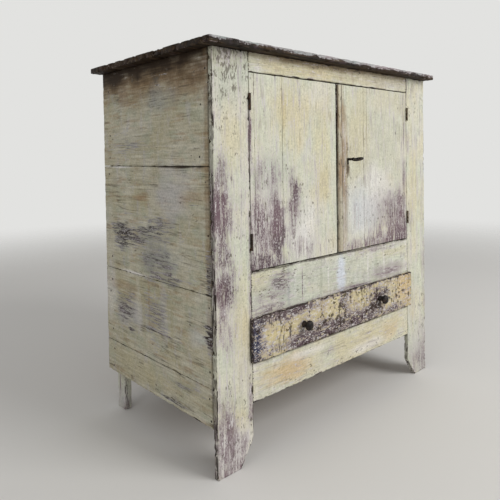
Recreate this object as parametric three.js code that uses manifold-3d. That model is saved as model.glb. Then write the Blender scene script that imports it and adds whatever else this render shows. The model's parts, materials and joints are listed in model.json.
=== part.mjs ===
// Jelly cupboard of painted pine boards: plank top and sides, a face frame whose stiles run down as feet,
// two plank doors on butt hinges, one lipped drawer. Millimetres, +Z up, the front looks along -Y.
import * as THREE from "three";
import { mergeVertices } from "three/addons/utils/BufferGeometryUtils.js";
import Module from "manifold-3d";

const wasm = await Module();
wasm.setup();

// The whole cupboard
const overallHeight = 1100;
const caseWidth = 1005;
const caseDepth = 568;

// Top planks
const topThickness = 18;
const topOverhangFront = 34;
const topOverhangBack = 17;
const topOverhangLeft = 34;
const topOverhangRight = 14;
const topSeamShares = [0.4, 0.8];
const topArris = 3;

// Side boards
const sideThickness = 18;
const sideClearOfFloor = 124;
const sideSeamShares = [0.105, 0.351, 0.691];
const sideArris = 1.5;
const seamGap = 0.75;
const cornerChipLength = 24;
const cornerChipHeight = 9;

// Face frame
const frameThickness = 16;
const stileWidth = 121;
const footWidth = 76;
const footTaperHeight = 66;
const topRailHeight = 52;
const middleRailHeight = 128;
const drawerOpeningHeight = 105;
const bottomRailHeight = 115;
const bottomRailClearOfFloor = 158;
const frameArris = 1;
const tenonThickness = 6;
const tenonLength = 28;
const tenonShoulder = 10;

// Back posts and back boards
const postWidth = 24;
const postDepth = 45;
const backThickness = 20;
const backInset = 5;
const backClearOfFloor = 150;
const backSeamShares = [0.27, 0.5, 0.74];

// Cupboard floor, shelf and their cleats
const floorThickness = 18;
const shelfThickness = 16;
const shelfHeightShare = 0.4;
const shelfSetback = 45;
const cleatWidth = 20;
const cleatHeight = 26;

// Doors
const doorThickness = 19;
const doorSideGap = 1.5;
const doorEndGap = 2;
const meetingGap = 5;
const meetingOffset = -18.5;
const hingeStripWidth = 17;
const doorBoardGap = 0.3;
const leftDoorSeamShare = 0.344;
const rightDoorSeamShare = 0.652;
const battenHeight = 60;
const battenThickness = 20;
const battenEndMargin = 34;
const battenFromDoorEndShare = 0.12;
const battenArris = 3;
const astragalWidth = 22;
const astragalProud = 9;
const astragalShortfall = 3;

// Butt hinges
const hingeHeight = 45;
const hingeFromDoorEnd = 76;
const knuckleRadius = 4;
const knuckleCount = 3;
const pinRadius = 1.6;
const leafThickness = 1.5;
const leafDepth = 13;

// Lock and key
const keyholeHeightShare = 0.554;
const keyholeFromMeetingEdge = 55;
const keyholeDrop = 15;
const keyholeSlotWidth = 5.5;
const keyReach = 55;
const shankRadius = 3.2;
const bowWidth = 34;
const bowLength = 32;
const bowBar = 5.5;
const collarRadius = 5;
const collarLength = 5;
const bitReach = 12;
const bitLength = 7;
const bitThickness = 2.5;
const bitFromDoorBack = 2;
const lockWidth = 72;
const lockHeight = 62;
const lockDepth = 14;
const lockWall = 2;
const lockInset = 2;
const lockBelowKey = 32;
const boltLength = 56;
const boltHeight = 10;
const boltDepth = 8;
const boltInset = 1;
const boltAboveBit = 1;
const keeperLength = 18;
const keeperInset = 1.5;
const keeperBar = 4;

// Drawer
const lipThickness = 11;
const lipOverlap = 8;
const drawerGap = 2;
const drawerFrontInside = 10;
const drawerBackRoom = 43;
const drawerSideThickness = 14;
const drawerSideShortfall = 6;
const drawerBackShortfall = 5;
const drawerBottomThickness = 7;
const drawerBottomLift = 6;
const grooveDepth = 6;
const runnerWidth = 38;
const runnerThickness = 24;
const guideHeight = 18;

// Drawer knobs
const knobSpacing = 380;
const knobAboveMiddle = 2;
const knobLength = 29;
const knobRadius = 14.5;
const knobNeckRadius = 6.5;
const knobFootRadius = 10;
const spigotRadius = 5;

// Clearance where one piece is let into another, and how far a cutter runs past what it cuts
const clearance = 0.3;
const overrun = 5;

// How finely round things are cut
const barrelSides = 16;
const bowSides = 24;
const knobSides = 20;

// Places that follow from the sizes above, from the floor under the middle of the case
const caseTop = overallHeight - topThickness;
const right = caseWidth / 2;
const left = -right;
const back = caseDepth / 2;
const front = -back;
const insideRight = right - sideThickness;
const frameBack = front + frameThickness;
const stileInner = right - stileWidth;
const drawerOpeningFoot = bottomRailClearOfFloor + bottomRailHeight;
const drawerOpeningTop = drawerOpeningFoot + drawerOpeningHeight;
const doorOpeningFoot = drawerOpeningTop + middleRailHeight;
const doorOpeningTop = caseTop - topRailHeight;
const backBoardsBack = back - backInset;
const backBoardsFront = backBoardsBack - backThickness;
const postFront = backBoardsFront - postDepth;
const postInner = insideRight - postWidth;
const shelfTop = doorOpeningFoot + shelfHeightShare * (doorOpeningTop - doorOpeningFoot);
const doorFoot = doorOpeningFoot + doorEndGap;
const doorHead = doorOpeningTop - doorEndGap;
const hingeProud = knuckleRadius + clearance;
const hingeX = stileInner - doorSideGap / 2;
const doorBack = hingeProud + doorThickness;

// Paint, iron and bare wood
const creamPaint = finish(0xcfc9b2, 0.78, 0);
const sidePaint = finish(0xa39a80, 0.8, 0);
const doorPaint = finish(0xc6c2ab, 0.76, 0);
const drawerPaint = finish(0x6f6068, 0.74, 0);
const topPaint = finish(0x3a322e, 0.72, 0);
const bareWood = finish(0x9a7b57, 0.85, 0);
const darkIron = finish(0x2a2624, 0.5, 0.7);

function finish(color, roughness, metalness) {
  return new THREE.MeshStandardMaterial({ color, roughness, metalness });
}

function piece(name, material, geometry) {
  const mesh = new THREE.Mesh(geometry, material.clone());
  mesh.name = name;
  return mesh;
}

// A shape's own two directions, then the axis it is carried along.
const axisOrders = { x: "yzx", y: "zxy", z: "xyz" };
const unitAxes = {
  x: new THREE.Vector3(1, 0, 0),
  y: new THREE.Vector3(0, 1, 0),
  z: new THREE.Vector3(0, 0, 1),
};

function inOrder(corner, along) {
  return [...axisOrders[along]].map((axis) => corner["xyz".indexOf(axis)]);
}

function shapeOf(outline) {
  return new THREE.Shape(outline.map(([u, v]) => new THREE.Vector2(u, v)));
}

// A flat shape drawn across one axis and carried along it from one place to the other.
function prism(shape, along, start, end) {
  const settings = { depth: 1, bevelEnabled: false, curveSegments: barrelSides };
  const geometry = new THREE.ExtrudeGeometry(shape, settings);
  const place = geometry.attributes.position;
  for (let corner = 0; corner < place.count; corner += 1) {
    place.setZ(corner, place.getZ(corner) === 1 ? end : start);
  }
  const directions = [...axisOrders[along]].map((axis) => unitAxes[axis]);
  return geometry.applyMatrix4(new THREE.Matrix4().makeBasis(...directions));
}

// A straight board between two corners, sawn square at both ends, its long edges eased by the arris.
function board(low, high, along, arris) {
  const [u0, v0, start] = inOrder(low, along);
  const [u1, v1, end] = inOrder(high, along);
  const eased = [
    [u0 + arris, v0],
    [u1 - arris, v0],
    [u1, v0 + arris],
    [u1, v1 - arris],
    [u1 - arris, v1],
    [u0 + arris, v1],
    [u0, v1 - arris],
    [u0, v0 + arris],
  ];
  return prism(shapeOf(eased), along, start, end);
}

// A plain square-edged block between two corners.
function block([x0, y0, z0], [x1, y1, z1]) {
  const square = [
    [x0, y0],
    [x1, y0],
    [x1, y1],
    [x0, y1],
  ];
  return prism(shapeOf(square), "z", z0, z1);
}

// A round bar on the Y or Z axis.
function bar(radius, along, start, end) {
  const geometry = new THREE.CylinderGeometry(radius, radius, end - start, barrelSides);
  geometry.translate(0, (start + end) / 2, 0);
  if (along === "z") geometry.rotateX(Math.PI / 2);
  return geometry;
}

function solidFrom(geometry) {
  const bare = geometry.clone();
  bare.deleteAttribute("normal");
  bare.deleteAttribute("uv");
  const merged = mergeVertices(bare);
  const triVerts = new Uint32Array(merged.index.array);
  return new wasm.Manifold(
    new wasm.Mesh({ numProp: 3, vertProperties: merged.attributes.position.array, triVerts }),
  );
}

function geometryFrom(solid) {
  const made = solid.getMesh();
  const indexed = new THREE.BufferGeometry();
  indexed.setAttribute("position", new THREE.BufferAttribute(made.vertProperties, 3));
  indexed.setIndex(new THREE.BufferAttribute(made.triVerts, 1));
  const geometry = indexed.toNonIndexed();
  geometry.computeVertexNormals();
  return geometry;
}

function cut(geometry, cutters) {
  const solid = cutters.reduce((rest, cutter) => rest.subtract(solidFrom(cutter)), solidFrom(geometry));
  return geometryFrom(solid);
}

function join(geometries) {
  const [first, ...others] = geometries.map(solidFrom);
  return geometryFrom(others.reduce((whole, other) => whole.add(other), first));
}

// The same geometry on the other side of the middle plane X = 0.
function mirrored(geometry) {
  const twin = geometry.index ? geometry.toNonIndexed() : geometry.clone();
  twin.scale(-1, 1, 1);
  const place = twin.attributes.position;
  for (let corner = 0; corner < place.count; corner += 3) {
    const second = new THREE.Vector3().fromBufferAttribute(place, corner + 1);
    const third = new THREE.Vector3().fromBufferAttribute(place, corner + 2);
    place.setXYZ(corner + 1, third.x, third.y, third.z);
    place.setXYZ(corner + 2, second.x, second.y, second.z);
  }
  twin.computeVertexNormals();
  return twin;
}

// Pieces are drawn on the right-hand side, and the left-hand ones are their mirror images.
function onSide(side, geometry) {
  return side === "right" ? geometry : mirrored(geometry);
}

// The stretches between seams, from one end of a width to the other, with half a gap at each seam.
function stretches(start, end, shares, gap) {
  const seams = shares.map((share) => start + share * (end - start));
  const starts = [start, ...seams.map((seam) => seam + gap / 2)];
  const ends = [...seams.map((seam) => seam - gap / 2), end];
  return starts.map((from, index) => [from, ends[index]]);
}

function makeTop() {
  const planks = new THREE.Group();
  const names = ["top_plank_front", "top_plank_middle", "top_plank_back"];
  const courses = stretches(front - topOverhangFront, back + topOverhangBack, topSeamShares, seamGap);
  courses.forEach(([from, to], index) => {
    const low = [left - topOverhangLeft, from, caseTop];
    const high = [right + topOverhangRight, to, overallHeight];
    planks.add(piece(names[index], topPaint, board(low, high, "x", topArris)));
  });
  return planks;
}

// The lowest board of a side has lost a chip from its back corner.
function cornerChip() {
  const lost = [
    [back, sideClearOfFloor + cornerChipHeight],
    [back - cornerChipLength, sideClearOfFloor],
    [back - cornerChipLength, sideClearOfFloor - overrun],
    [back + overrun, sideClearOfFloor - overrun],
    [back + overrun, sideClearOfFloor + cornerChipHeight],
  ];
  return prism(shapeOf(lost), "x", insideRight - overrun, right + overrun);
}

function makeSide(side) {
  const boards = new THREE.Group();
  stretches(sideClearOfFloor, caseTop, sideSeamShares, seamGap).forEach(([from, to], index) => {
    const whole = board([insideRight, frameBack, from], [right, back, to], "y", sideArris);
    const geometry = index === 0 ? cut(whole, [cornerChip()]) : whole;
    boards.add(piece(`${side}_side_board_${index + 1}`, sidePaint, onSide(side, geometry)));
  });
  return boards;
}

// The foot and head of each rail, from the top down.
const railSpans = {
  top: [doorOpeningTop, caseTop],
  middle: [drawerOpeningTop, doorOpeningFoot],
  bottom: [bottomRailClearOfFloor, drawerOpeningFoot],
};

// A rail's tenon, or with a margin the mortise that takes it, at the right-hand stile.
function tenon([foot, head], margin) {
  const middle = front + frameThickness / 2;
  const halfThickness = tenonThickness / 2 + margin;
  const low = [stileInner - overrun, middle - halfThickness, foot + tenonShoulder - margin];
  const high = [stileInner + tenonLength + margin, middle + halfThickness, head - tenonShoulder + margin];
  return block(low, high);
}

// The heights at which the hinges' middles stand.
const hingeHeights = { lower: doorFoot + hingeFromDoorEnd, upper: doorHead - hingeFromDoorEnd };

// The shallow recess that a hinge leaf lies in, cut into an edge that looks towards -X.
function leafRecess(edge, faceY, height) {
  const low = [edge - overrun, faceY - overrun, height - hingeHeight / 2 - clearance];
  const deep = edge + leafThickness + clearance;
  const high = [deep, faceY + leafDepth + clearance, height + hingeHeight / 2 + clearance];
  return block(low, high);
}

function makeStile(side) {
  const whole = board([stileInner, front, 0], [right, frameBack, caseTop], "z", frameArris);
  const footInner = right - footWidth;
  const footTaper = [
    [0, footInner],
    [-overrun, footInner],
    [-overrun, stileInner - overrun],
    [footTaperHeight, stileInner - overrun],
    [footTaperHeight, stileInner],
  ];
  const cutters = [prism(shapeOf(footTaper), "y", front - overrun, frameBack + overrun)];
  for (const span of Object.values(railSpans)) cutters.push(tenon(span, clearance));
  for (const height of Object.values(hingeHeights)) cutters.push(leafRecess(stileInner, front, height));
  return piece(`${side}_stile`, creamPaint, onSide(side, cut(whole, cutters)));
}

function makeRail(name, span) {
  const [foot, head] = span;
  const body = board([-stileInner, front, foot], [stileInner, frameBack, head], "x", frameArris);
  const rightTenon = tenon(span, 0);
  return piece(`${name}_rail`, creamPaint, join([body, rightTenon, mirrored(rightTenon)]));
}

function makeFaceFrame() {
  const frame = new THREE.Group();
  for (const side of ["left", "right"]) frame.add(makeStile(side));
  for (const [name, span] of Object.entries(railSpans)) frame.add(makeRail(name, span));
  return frame;
}

function makePost(side) {
  const geometry = board([postInner, postFront, 0], [insideRight, backBoardsFront, caseTop], "z", frameArris);
  return piece(`${side}_back_post`, creamPaint, onSide(side, geometry));
}

function makeBack() {
  const boards = new THREE.Group();
  stretches(-insideRight, insideRight, backSeamShares, seamGap).forEach(([from, to], index) => {
    const low = [from, backBoardsFront, backClearOfFloor];
    const high = [to, backBoardsBack, caseTop];
    boards.add(piece(`back_board_${index + 1}`, bareWood, board(low, high, "z", sideArris)));
  });
  return boards;
}

// A level board from side to side, notched round the two back posts.
function levelBoard(name, top, thickness, frontEdge) {
  const notchX = postInner - clearance;
  const notchY = postFront - clearance;
  const outline = [
    [-insideRight, frontEdge],
    [insideRight, frontEdge],
    [insideRight, notchY],
    [notchX, notchY],
    [notchX, backBoardsFront],
    [-notchX, backBoardsFront],
    [-notchX, notchY],
    [-insideRight, notchY],
  ];
  return piece(name, bareWood, prism(shapeOf(outline), "z", top - thickness, top));
}

function makeCleat(name, side, top) {
  const low = [insideRight - cleatWidth, frameBack, top - cleatHeight];
  const high = [insideRight, postFront, top];
  return piece(`${side}_${name}_cleat`, bareWood, onSide(side, board(low, high, "y", frameArris)));
}

// An L-shaped runner: the drawer side rides on its foot and is kept in line by its guide.
function makeRunner(side) {
  const top = drawerOpeningFoot + drawerGap - clearance;
  const outer = stileInner + drawerGap / 2 + runnerWidth / 2;
  const outline = [
    [top - runnerThickness, outer - runnerWidth],
    [top, outer - runnerWidth],
    [top, stileInner],
    [top + guideHeight, stileInner],
    [top + guideHeight, outer],
    [top - runnerThickness, outer],
  ];
  const geometry = prism(shapeOf(outline), "y", frameBack, backBoardsFront);
  return piece(`${side}_drawer_runner`, bareWood, onSide(side, geometry));
}

function makeCase() {
  const whole = new THREE.Group();
  whole.add(makeTop(), makeFaceFrame(), makeBack());
  for (const side of ["left", "right"]) {
    whole.add(makeSide(side), makePost(side), makeRunner(side));
    whole.add(makeCleat("floor", side, doorOpeningFoot - floorThickness));
    whole.add(makeCleat("shelf", side, shelfTop - shelfThickness));
  }
  whole.add(levelBoard("cupboard_floor", doorOpeningFoot, floorThickness, frameBack));
  whole.add(levelBoard("shelf", shelfTop, shelfThickness, front + shelfSetback));
  return whole;
}

// One leaf of a hinge, drawn round the pin's middle, with the knuckles of the given turns.
function hingeLeaf(ownKnuckles, withPin) {
  const knuckleHeight = hingeHeight / knuckleCount;
  const plateInner = doorSideGap / 2;
  const plateOuter = plateInner + leafThickness;
  const parts = [
    block([plateInner, hingeProud, -hingeHeight / 2], [plateOuter, hingeProud + leafDepth, hingeHeight / 2]),
  ];
  for (const turn of ownKnuckles) {
    const foot = turn * knuckleHeight - hingeHeight / 2 + clearance / 2;
    const head = foot + knuckleHeight - clearance;
    parts.push(bar(knuckleRadius, "z", foot, head));
    parts.push(block([plateInner, 0, foot], [plateOuter, hingeProud + leafThickness, head]));
  }
  if (withPin) {
    parts.push(bar(pinRadius, "z", clearance - hingeHeight / 2, hingeHeight / 2 - clearance));
    return join(parts);
  }
  return cut(join(parts), [bar(pinRadius + clearance, "z", -hingeHeight, hingeHeight)]);
}

// Both leaves of one hinge. The frame leaf holds the pin and the outer knuckles.
function makeHinge(side, level) {
  const otherSide = side === "left" ? "right" : "left";
  const outerKnuckles = [0, knuckleCount - 1];
  const middleKnuckles = [(knuckleCount - 1) / 2];
  const frameLeaf = onSide(side, hingeLeaf(outerKnuckles, true));
  const doorLeaf = onSide(otherSide, hingeLeaf(middleKnuckles, false));
  const hinge = new THREE.Group();
  hinge.position.set(side === "left" ? -hingeX : hingeX, front - hingeProud, hingeHeights[level]);
  hinge.add(piece(`${side}_${level}_hinge_frame_leaf`, darkIron, frameLeaf));
  hinge.add(piece(`${side}_${level}_hinge_door_leaf`, darkIron, doorLeaf));
  return hinge;
}

// How far each door reaches from its hinge pin to its meeting edge.
const doorReach = {
  left: hingeX + meetingOffset - meetingGap / 2,
  right: hingeX - meetingOffset - meetingGap / 2,
};

// The seam between each door's two boards, from the pin as well.
const doorSeam = { left: leftDoorSeamShare * doorReach.left, right: rightDoorSeamShare * doorReach.right };

// A door is drawn from its hinge pin: the left one towards +X, the right one as a mirror image.
function inDoor(side, geometry) {
  return side === "left" ? geometry : mirrored(geometry);
}

function makeDoorBoards(side) {
  const boards = new THREE.Group();
  const reach = doorReach[side];
  const edge = doorSideGap / 2;
  const stripEnd = edge + hingeStripWidth;
  const recesses = Object.values(hingeHeights).map((height) => leafRecess(edge, hingeProud, height));
  const span = (from, to) => block([from, hingeProud, doorFoot], [to, doorBack, doorHead]);
  const strip = cut(span(edge, stripEnd), recesses);
  const outer = span(stripEnd + doorBoardGap, doorSeam[side]);
  const inner = span(doorSeam[side] + doorBoardGap, reach);
  const meeting = side === "right" ? cut(inner, keyholeCutters()) : inner;
  boards.add(piece(`${side}_door_hinge_strip`, doorPaint, inDoor(side, strip)));
  boards.add(piece(`${side}_door_outer_board`, doorPaint, inDoor(side, outer)));
  boards.add(piece(`${side}_door_meeting_board`, doorPaint, inDoor(side, meeting)));
  return boards;
}

function makeBattens(side) {
  const battens = new THREE.Group();
  const margin = battenFromDoorEndShare * (doorHead - doorFoot);
  const feet = { lower: doorFoot + margin, upper: doorHead - margin - battenHeight };
  for (const [level, foot] of Object.entries(feet)) {
    const low = [battenEndMargin, doorBack, foot];
    const high = [doorReach[side] - battenEndMargin, doorBack + battenThickness, foot + battenHeight];
    const geometry = inDoor(side, board(low, high, "x", battenArris));
    battens.add(piece(`${side}_door_${level}_batten`, bareWood, geometry));
  }
  return battens;
}

// The rounded bead that stands on the right door's meeting edge.
function makeAstragal() {
  const middle = doorReach.right - astragalWidth / 2;
  const section = new THREE.Shape();
  section.absellipse(middle, hingeProud, astragalWidth / 2, astragalProud, 0, Math.PI, true);
  const geometry = prism(section, "z", doorFoot + astragalShortfall, doorHead - astragalShortfall);
  return piece("astragal", doorPaint, inDoor("right", geometry));
}

// The key's axis in the right door, before that door is mirrored.
const keyAcross = doorReach.right - keyholeFromMeetingEdge;
const keyHeight = doorFoot + keyholeHeightShare * (doorHead - doorFoot);
const keyholeRadius = shankRadius + clearance;

function keyholeCutters() {
  const round = bar(keyholeRadius, "y", hingeProud - overrun, doorBack + overrun);
  round.translate(keyAcross, 0, keyHeight);
  const slotLow = [keyAcross - keyholeSlotWidth / 2, hingeProud - overrun, keyHeight - keyholeDrop];
  const slotHigh = [keyAcross + keyholeSlotWidth / 2, doorBack + overrun, keyHeight];
  return [round, block(slotLow, slotHigh)];
}

// The bolt lies over the sweep of the key's bit, against the back of the lock case.
const boltFoot = keyHeight + bitReach + boltAboveBit;
const lockFloor = doorBack + lockDepth - lockWall;
const boltBack = lockFloor - clearance;
const boltFront = boltBack - boltDepth;
const boltEnd = doorReach.right - boltInset;

function makeLockCase() {
  const end = doorReach.right - lockInset;
  const foot = keyHeight - lockBelowKey;
  const outside = block([end - lockWidth, doorBack, foot], [end, doorBack + lockDepth, foot + lockHeight]);
  const hollow = block(
    [end - lockWidth + lockWall, doorBack - overrun, foot + lockWall],
    [end - lockWall, lockFloor, foot + lockHeight - lockWall],
  );
  const boltSlot = block(
    [end - lockWall - overrun, boltFront - clearance, boltFoot - clearance],
    [end + overrun, lockFloor, boltFoot + boltHeight + clearance],
  );
  return piece("lock_case", darkIron, inDoor("right", cut(outside, [hollow, boltSlot])));
}

function makeLockBolt() {
  const low = [boltEnd - boltLength, boltFront, boltFoot];
  const high = [boltEnd, boltBack, boltFoot + boltHeight];
  return piece("lock_bolt", darkIron, inDoor("right", block(low, high)));
}

// The staple behind the left door's edge that the bolt runs into.
function makeKeeper() {
  const end = doorReach.left - keeperInset;
  const low = [end - keeperLength, doorBack, boltFoot - keeperBar];
  const high = [end, boltBack + keeperBar, boltFoot + boltHeight + keeperBar];
  const eye = block(
    [low[0] - overrun, boltFront - clearance * 2, boltFoot - clearance * 2],
    [high[0] + overrun, boltBack + clearance * 2, boltFoot + boltHeight + clearance * 2],
  );
  return piece("lock_keeper", darkIron, inDoor("left", cut(block(low, high), [eye])));
}

// The key, drawn round its own axis: the bow lies level in front of the door, the bit inside the lock.
function makeKey() {
  const bowMiddle = hingeProud - keyReach + bowLength / 2;
  const bow = new THREE.TorusGeometry(bowWidth / 2 - bowBar / 2, bowBar / 2, barrelSides / 2, bowSides);
  bow.scale(1, bowLength / bowWidth, 1);
  bow.translate(0, bowMiddle, 0);
  const shankStart = bowMiddle + bowLength / 2 - bowBar;
  const shank = bar(shankRadius, "y", shankStart, lockFloor - clearance);
  const collar = bar(collarRadius, "y", shankStart + bowBar, shankStart + bowBar + collarLength);
  const bitStart = doorBack + bitFromDoorBack;
  const bit = block([-bitReach, bitStart, -bitThickness / 2], [0, bitStart + bitLength, bitThickness / 2]);
  const key = piece("key", darkIron, mirrored(join([bow, shank, collar, bit])));
  key.position.set(-keyAcross, 0, keyHeight);
  return key;
}

function makeDoor(side) {
  const door = new THREE.Group();
  door.position.set(side === "left" ? -hingeX : hingeX, front - hingeProud, 0);
  door.add(makeDoorBoards(side), makeBattens(side));
  if (side === "right") door.add(makeAstragal(), makeLockCase(), makeLockBolt(), makeKey());
  if (side === "left") door.add(makeKeeper());
  return door;
}

const knobHeight = (drawerOpeningTop + drawerOpeningFoot) / 2 + knobAboveMiddle;
const drawerHalfWidth = stileInner - drawerGap;
const drawerFoot = drawerOpeningFoot + drawerGap;
const drawerHead = drawerOpeningTop - drawerGap;
const drawerSideFront = front + drawerFrontInside;
const drawerSideBack = backBoardsFront - drawerBackRoom;
const drawerSideInner = drawerHalfWidth - drawerSideThickness;
const bottomFoot = drawerFoot + drawerBottomLift;
const bottomHead = bottomFoot + drawerBottomThickness;

// The groove round the drawer's bottom, as one flat cutter.
function bottomGroove() {
  const reach = drawerSideInner + grooveDepth;
  return block(
    [-reach, drawerSideFront - grooveDepth, bottomFoot - clearance],
    [reach, drawerSideBack + overrun, bottomHead + clearance],
  );
}

// The places of the knobs' middles on the drawer front.
const knobPlaces = { left: -knobSpacing / 2, right: knobSpacing / 2 };

function makeDrawerFront() {
  const lipReach = stileInner + lipOverlap;
  const lip = board(
    [-lipReach, front - lipThickness, drawerOpeningFoot - lipOverlap],
    [lipReach, front - clearance, drawerOpeningTop + lipOverlap],
    "x",
    frameArris,
  );
  const inside = block(
    [-drawerHalfWidth, front - lipThickness / 2, drawerFoot],
    [drawerHalfWidth, drawerSideFront, drawerHead],
  );
  const holes = Object.values(knobPlaces).map((x) => {
    const outside = front - lipThickness - overrun;
    const hole = bar(spigotRadius + clearance, "y", outside, drawerSideFront + overrun);
    hole.translate(x, 0, knobHeight);
    return hole;
  });
  return piece("drawer_front", drawerPaint, cut(join([lip, inside]), [bottomGroove(), ...holes]));
}

function makeDrawerSide(side) {
  const low = [drawerSideInner, drawerSideFront, drawerFoot];
  const high = [drawerHalfWidth, drawerSideBack, drawerHead - drawerSideShortfall];
  const geometry = cut(board(low, high, "y", frameArris), [bottomGroove()]);
  return piece(`drawer_${side}_side`, bareWood, onSide(side, geometry));
}

function makeDrawerBack() {
  const low = [-drawerSideInner, drawerSideBack - drawerSideThickness, bottomHead];
  const high = [drawerSideInner, drawerSideBack, drawerHead - drawerSideShortfall - drawerBackShortfall];
  return piece("drawer_back", bareWood, board(low, high, "x", frameArris));
}

function makeDrawerBottom() {
  const reach = drawerSideInner + grooveDepth - clearance;
  const low = [-reach, drawerSideFront - grooveDepth + clearance, bottomFoot];
  return piece("drawer_bottom", bareWood, block(low, [reach, drawerSideBack, bottomHead]));
}

// A turned mushroom knob, its spigot let right through the drawer front.
function makeKnob(side) {
  const headSwell = knobRadius - knobNeckRadius;
  const spigotEnd = -lipThickness - drawerFrontInside;
  const profile = new THREE.Path();
  profile.moveTo(0, spigotEnd);
  profile.lineTo(spigotRadius, spigotEnd);
  profile.lineTo(spigotRadius, clearance);
  profile.lineTo(knobFootRadius, clearance);
  profile.quadraticCurveTo(knobNeckRadius, clearance, knobNeckRadius, knobLength / 2 - clearance);
  profile.lineTo(knobNeckRadius, knobLength / 2);
  profile.quadraticCurveTo(knobRadius, knobLength / 2, knobRadius, knobLength - headSwell / 2);
  profile.quadraticCurveTo(knobRadius, knobLength, 0, knobLength);
  const outline = profile.getPoints(barrelSides / 4);
  const knob = piece(`${side}_drawer_knob`, darkIron, new THREE.LatheGeometry(outline, knobSides));
  knob.rotation.x = Math.PI;
  knob.position.set(knobPlaces[side], front - lipThickness, knobHeight);
  return knob;
}

function makeDrawer() {
  const drawer = new THREE.Group();
  drawer.add(makeDrawerFront(), makeDrawerBack(), makeDrawerBottom());
  for (const side of ["left", "right"]) drawer.add(makeDrawerSide(side), makeKnob(side));
  return drawer;
}

const cupboard = new THREE.Group();
cupboard.add(makeCase(), makeDrawer());
for (const side of ["left", "right"]) {
  cupboard.add(makeDoor(side));
  for (const level of ["lower", "upper"]) cupboard.add(makeHinge(side, level));
}

// The origin is on the floor under the middle of everything, the overhanging top and the key included.
cupboard.position.set((topOverhangLeft - topOverhangRight) / 2, (keyReach - topOverhangBack) / 2, 0);

export default cupboard;
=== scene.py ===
import json
from math import radians

import bpy
from mathutils import Matrix, Vector


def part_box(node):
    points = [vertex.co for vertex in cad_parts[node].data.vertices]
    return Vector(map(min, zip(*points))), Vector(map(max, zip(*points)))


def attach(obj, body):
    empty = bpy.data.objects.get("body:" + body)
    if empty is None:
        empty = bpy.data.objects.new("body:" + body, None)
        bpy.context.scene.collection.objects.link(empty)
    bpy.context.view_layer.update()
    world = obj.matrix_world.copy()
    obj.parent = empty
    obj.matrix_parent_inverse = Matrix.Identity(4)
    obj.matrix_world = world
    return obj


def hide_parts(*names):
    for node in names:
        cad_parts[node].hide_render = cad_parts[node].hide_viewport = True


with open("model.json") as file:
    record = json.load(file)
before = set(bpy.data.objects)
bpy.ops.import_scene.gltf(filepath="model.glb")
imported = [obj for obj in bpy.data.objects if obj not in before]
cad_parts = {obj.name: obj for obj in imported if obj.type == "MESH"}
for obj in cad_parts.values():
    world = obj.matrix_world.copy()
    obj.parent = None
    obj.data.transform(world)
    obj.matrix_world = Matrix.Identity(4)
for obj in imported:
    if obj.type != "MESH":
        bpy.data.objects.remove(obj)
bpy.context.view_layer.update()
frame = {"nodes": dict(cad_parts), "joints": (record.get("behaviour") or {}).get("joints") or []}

print("the packed model is loaded")


# a colour is written as it looks, each part from 0 to 255, and a node takes it linear
def tone(red, green, blue):
    def linear(part):
        share = part / 255
        return share / 12.92 if share <= 0.04045 else ((share + 0.055) / 1.055) ** 2.4

    return (linear(red), linear(green), linear(blue), 1)


colours = dict(
    cream=(208, 204, 186), warmCream=(207, 200, 173), yellow=(205, 193, 154),
    paleGreen=(203, 205, 186), greyGreen=(188, 192, 178), ochre=(190, 170, 118),
    orange=(203, 170, 122), chalk=(224, 220, 216), skyWhite=(206, 210, 216),
    pink=(184, 168, 146), brown=(122, 97, 68), umber=(42, 28, 13),
    grime=(58, 50, 46), mauve=(116, 96, 102), deepMauve=(88, 72, 78),
    dustyMauve=(160, 148, 150), navy=(52, 56, 78), olive=(187, 182, 164),
    drab=(182, 176, 156), lilac=(184, 180, 180), slate=(152, 158, 156),
    ash=(151, 149, 143), mustard=(190, 176, 138), plum=(100, 88, 88),
    rust=(150, 120, 88), khaki=(172, 165, 138), greyOlive=(166, 169, 149),
    oldLine=(134, 122, 104), soot=(30, 24, 20), speckle=(92, 84, 74),
)
colours = {name: tone(*parts) for name, parts in colours.items()}


# nodes: a socket is linked, a colour may go in by its name, and any other value as it is
def feed(tree, socket, value):
    if isinstance(value, bpy.types.NodeSocket):
        tree.links.new(value, socket)
    else:
        socket.default_value = colours[value] if isinstance(value, str) else value


def node(tree, kind, inputs=(), **settings):
    made = tree.nodes.new(kind)
    for name, value in settings.items():
        setattr(made, name, value)
    for name, value in dict(inputs).items():
        feed(tree, made.inputs[name], value)
    return made


def calc(tree, operation, *values):
    return node(tree, "ShaderNodeMath", enumerate(values), operation=operation).outputs[0]


def vectorCalc(tree, operation, *values):
    made = node(tree, "ShaderNodeVectorMath", enumerate(values), operation=operation)
    return made.outputs["Value" if operation == "LENGTH" else "Vector"]


def smooth(tree, value, low, high, most=1):
    limits = {"Value": value, "From Min": low, "From Max": high, "To Max": most}
    return node(tree, "ShaderNodeMapRange", limits, interpolation_type="SMOOTHSTEP").outputs[0]


def noise(tree, vector, scale, detail=3):
    inputs = {"Vector": vector, "Scale": scale, "Detail": detail}
    return node(tree, "ShaderNodeTexNoise", inputs).outputs[0]


noiseMiddle = 0.5


# a noise raises or lowers a level by its distance from its own middle
def stir(tree, level, value, weight):
    return calc(tree, "MULTIPLY_ADD", calc(tree, "SUBTRACT", value, noiseMiddle), weight, level)


def blendColour(tree, share, first, second):
    inputs = {0: share, 6: first, 7: second}  # the sockets for a share and two colours
    return node(tree, "ShaderNodeMix", inputs, data_type="RGBA").outputs[2]


def openGroup(name, inputs, outputs={"Float": ["Share"]}):
    tree = bpy.data.node_groups.new(name, "ShaderNodeTree")
    for way, kinds in (("INPUT", inputs), ("OUTPUT", outputs)):
        for kind, titles in kinds.items():
            for title in titles:
                tree.interface.new_socket(title, in_out=way, socket_type="NodeSocket" + kind)
    return tree, tree.nodes.new("NodeGroupInput").outputs, tree.nodes.new("NodeGroupOutput").inputs


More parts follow.
